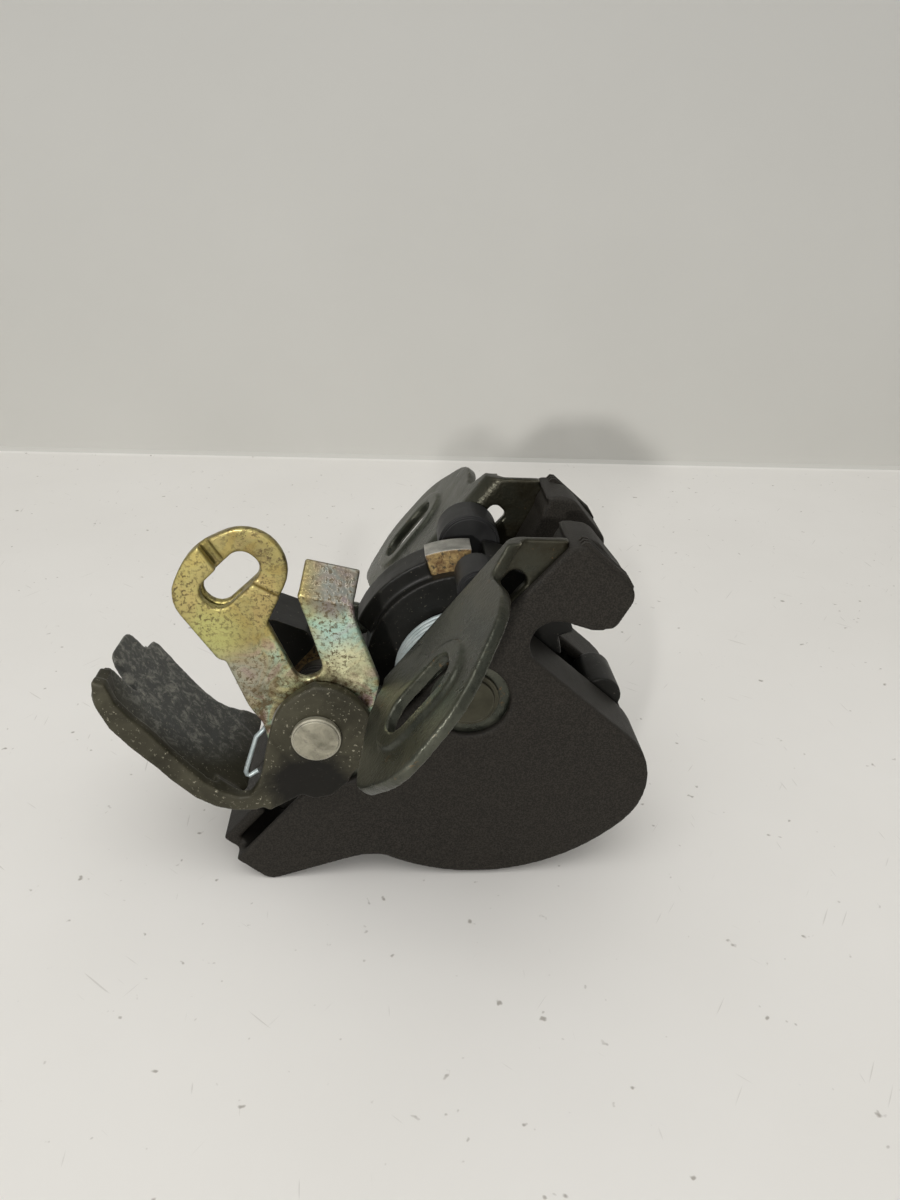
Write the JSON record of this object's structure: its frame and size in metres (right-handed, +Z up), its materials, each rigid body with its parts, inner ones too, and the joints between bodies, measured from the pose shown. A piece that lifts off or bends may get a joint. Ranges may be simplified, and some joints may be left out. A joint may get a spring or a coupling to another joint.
{
  "type": "vehicle door rotary latch",
  "caption": "Rotary latch for a vehicle door: a plastic case with a mouth for the striker, bolt ears on both sides, a sprung claw, a pawl, a forked release lever and a plated eye lever.",
  "frame": {"origin": "middle of the striker's seat at the closed end of the mouth, half way across the case", "axes": "the latch lies as pictured, resting on the foot and the round edge of its case: +Z up, +Y across the latch along the striker and both pivots, +X to the mouth's open side"},
  "size_m": [0.1103, 0.1076, 0.0803],
  "materials": {
    "case": "matt moulded glass-filled nylon, fine grain",
    "side_plate": "pressed steel, dark oxide with worn edges",
    "pivot": "turned steel, riveted over",
    "collar": "moulded acetal",
    "claw_steel": "blanked steel, bare and lightly rusted on the tooth",
    "claw_plastic": "black plastic moulded over the steel",
    "spring_wire": "zinc plated spring wire",
    "rubber": "black rubber",
    "rivet": "flat rivet head, dull grey",
    "eye_plating": "yellow passivated zinc plate, speckled",
    "release_steel": "pressed steel, black-olive, greasy",
    "post": "turned steel"
  },
  "bodies": {
    "case": {"near_housing": "case", "far_housing": "case", "near_plate": "side_plate", "far_plate": "side_plate", "claw_pivot": "pivot", "near_collar": "collar", "far_collar": "collar", "claw_spring": "spring_wire", "near_buffer": "rubber", "far_buffer": "rubber", "pawl_pivot": "rivet", "pawl_near_spacer": "post", "pawl_far_spacer": "post", "pawl_spring": "spring_wire", "release_spring": "spring_wire", "lever_washer": "post", "lower_post": "post", "heel_post": "post"},
    "claw": {"claw_core": "claw_steel", "claw_cover": "claw_plastic"},
    "pawl_arm": {"pawl": "claw_steel", "pawl_cover": "claw_plastic"},
    "eye_arm": {"eye_lever": "eye_plating"},
    "release_arm": {"release_lever": "release_steel"}
  },
  "joints": [
    {"name": "claw_turn", "type": "hinge", "parent": "case", "child": "claw", "pos_m": [-0.01611, 0, -0.01251], "axis": [0, 1, 0], "range_deg": [-45, 0], "stiffness_Nm_per_rad": 0.1, "springref_deg": 20.05, "deforming": ["claw_spring"]},
    {"name": "pawl_turn", "type": "hinge", "parent": "case", "child": "pawl_arm", "pos_m": [-0.04605, 0, -0.01809], "axis": [0, 1, 0], "range_deg": [-23, 4], "deforming": ["pawl_spring"]},
    {"name": "release_lever_turn", "type": "hinge", "parent": "case", "child": "release_arm", "pos_m": [-0.04605, 0, -0.01809], "axis": [0, 1, 0], "range_deg": [0, 18], "stiffness_Nm_per_rad": 0.1, "springref_deg": -17.19, "deforming": ["release_spring"]},
    {"name": "eye_lever_turn", "type": "hinge", "parent": "case", "child": "eye_arm", "pos_m": [-0.04605, 0, -0.01809], "axis": [0, 1, 0], "range_deg": [-18, 0]}
  ]
}
